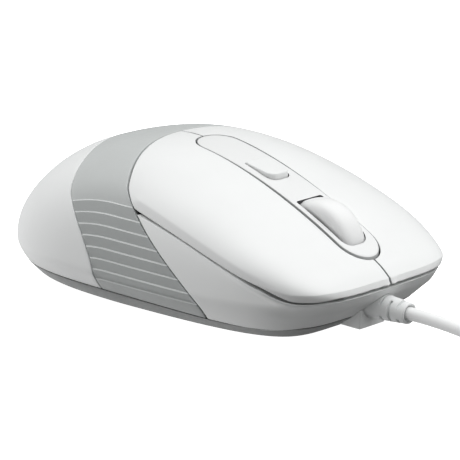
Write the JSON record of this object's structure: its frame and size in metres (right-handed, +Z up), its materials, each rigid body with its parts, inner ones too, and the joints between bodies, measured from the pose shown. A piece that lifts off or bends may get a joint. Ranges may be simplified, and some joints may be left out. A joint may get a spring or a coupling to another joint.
{
  "type": "computer mouse",
  "caption": "Wired optical mouse with a ribbed grip band over its back, two key plates, a rate button, a clickable scroll wheel and a coiled cable with a plug.",
  "frame": {"origin": "on the desk, under the middle of the mouse body's length and width, the cable left out", "axes": "+Y from the tail to the nose, where the cable leaves; +X to the user's right; +Z up from the desk"},
  "size_m": [0.084, 0.1865, 0.0365],
  "materials": {
    "shell_white": "fine satin moulding, off-white",
    "cover_white": "fine satin moulding, pale grey-white",
    "band_grey": "satin grey with ribbed grips",
    "frame_white": "satin white moulding",
    "base_grey": "textured grey",
    "wheel_rubber": "smooth pale rubber",
    "boot_rubber": "soft pale grey moulding",
    "cord_jacket": "smooth pale jacket",
    "tie_black": "soft black strap",
    "inner_black": "plain black moulding",
    "inner_natural": "plain natural moulding",
    "board_green": "green solder mask",
    "plunger_white": "plain white moulding",
    "plunger_red": "plain red moulding",
    "chip_black": "black epoxy",
    "lens_clear": "clear moulded lens",
    "led_red": "red clear epoxy",
    "can_aluminium": "sleeved can",
    "lead_sleeve": "red insulated leads",
    "plug_steel": "bright folded steel",
    "screw_steel": "zinc-plated",
    "glide_grey": "slippery dark grey film"
  },
  "bodies": {
    "base": {"bottom_case": "base_grey", "side_frame": "frame_white", "grip_band": "band_grey", "rear_cover": "cover_white", "center_console": "shell_white", "inner_chassis": "inner_black", "rate_board": "board_green", "rate_switch_body": "chip_black", "middle_switch_body": "chip_black", "right_switch_body": "chip_black", "left_switch_body": "chip_black", "circuit_board": "board_green", "optical_sensor": "chip_black", "sensor_lens": "lens_clear", "illumination_led": "led_red", "led_clip": "inner_black", "microcontroller": "chip_black", "capacitors": "can_aluminium", "cable_header": "inner_natural", "cable_plug": "inner_natural", "cable_leads": "lead_sleeve", "strain_relief": "boot_rubber", "cord_run": "cord_jacket", "cord_coil": "cord_jacket", "cord_tail": "cord_jacket", "cord_tie": "tie_black", "usb_plug_body": "boot_rubber", "usb_plug_shell": "plug_steel", "usb_plug_tongue": "plunger_white", "board_screws": "screw_steel", "case_screws": "screw_steel", "front_glide": "glide_grey", "rear_glide": "glide_grey"},
    "left_button": {"left_button": "shell_white", "left_button_lever": "inner_black"},
    "right_button": {"right_button": "shell_white", "right_button_lever": "inner_black"},
    "left_plunger": {"left_switch_plunger": "plunger_white"},
    "right_plunger": {"right_switch_plunger": "plunger_white"},
    "rate_button": {"rate_button": "cover_white"},
    "rate_plunger": {"rate_switch_plunger": "plunger_white"},
    "wheel_cradle": {"wheel_cradle": "inner_natural", "encoder_body": "board_green"},
    "wheel": {"wheel_tyre": "wheel_rubber", "wheel_hub": "inner_black", "encoder_rotor": "plunger_white"},
    "middle_plunger": {"middle_switch_plunger": "plunger_red"}
  },
  "joints": [
    {"name": "left_click", "type": "hinge", "parent": "base", "child": "left_button", "pos_m": [0, -0.015, 0.0292], "axis": [1, 0, 0], "range_deg": [-0.45, 0], "stiffness_Nm_per_rad": 3, "springref_deg": 0.23},
    {"name": "right_click", "type": "hinge", "parent": "base", "child": "right_button", "pos_m": [0, -0.015, 0.0292], "axis": [1, 0, 0], "range_deg": [-0.45, 0], "stiffness_Nm_per_rad": 3, "springref_deg": 0.23},
    {"name": "rate_press", "type": "slide", "parent": "base", "child": "rate_button", "axis": [0, 0, -1], "range_m": [0, 0.0005], "stiffness_N_per_m": 1000, "springref_m": -0.0003},
    {"name": "wheel_click", "type": "hinge", "parent": "base", "child": "wheel_cradle", "pos_m": [0, 0.019, 0.0125], "axis": [1, 0, 0], "range_deg": [-2, 0], "stiffness_Nm_per_rad": 0.6, "springref_deg": 1.72},
    {"name": "wheel_spin", "type": "hinge", "parent": "wheel_cradle", "child": "wheel", "pos_m": [0, 0.0324, 0.0174], "axis": [1, 0, 0], "continuous": true},
    {"name": "left_plunger_travel", "type": "slide", "parent": "base", "child": "left_plunger", "axis": [0, 0, -1], "range_m": [0, 0.00045]},
    {"name": "right_plunger_travel", "type": "slide", "parent": "base", "child": "right_plunger", "axis": [0, 0, -1], "range_m": [0, 0.00045]},
    {"name": "middle_plunger_travel", "type": "slide", "parent": "base", "child": "middle_plunger", "axis": [0, 0, -1], "range_m": [0, 0.0005]},
    {"name": "rate_plunger_travel", "type": "slide", "parent": "base", "child": "rate_plunger", "axis": [0, 0, -1], "range_m": [0, 0.0005]}
  ],
  "couplings": [
    {"joint": "left_plunger_travel", "follows": "left_click", "m_per_rad": -0.046},
    {"joint": "right_plunger_travel", "follows": "right_click", "m_per_rad": -0.046},
    {"joint": "middle_plunger_travel", "follows": "wheel_click", "m_per_rad": -0.0132},
    {"joint": "rate_plunger_travel", "follows": "rate_press", "ratio": 1}
  ]
}
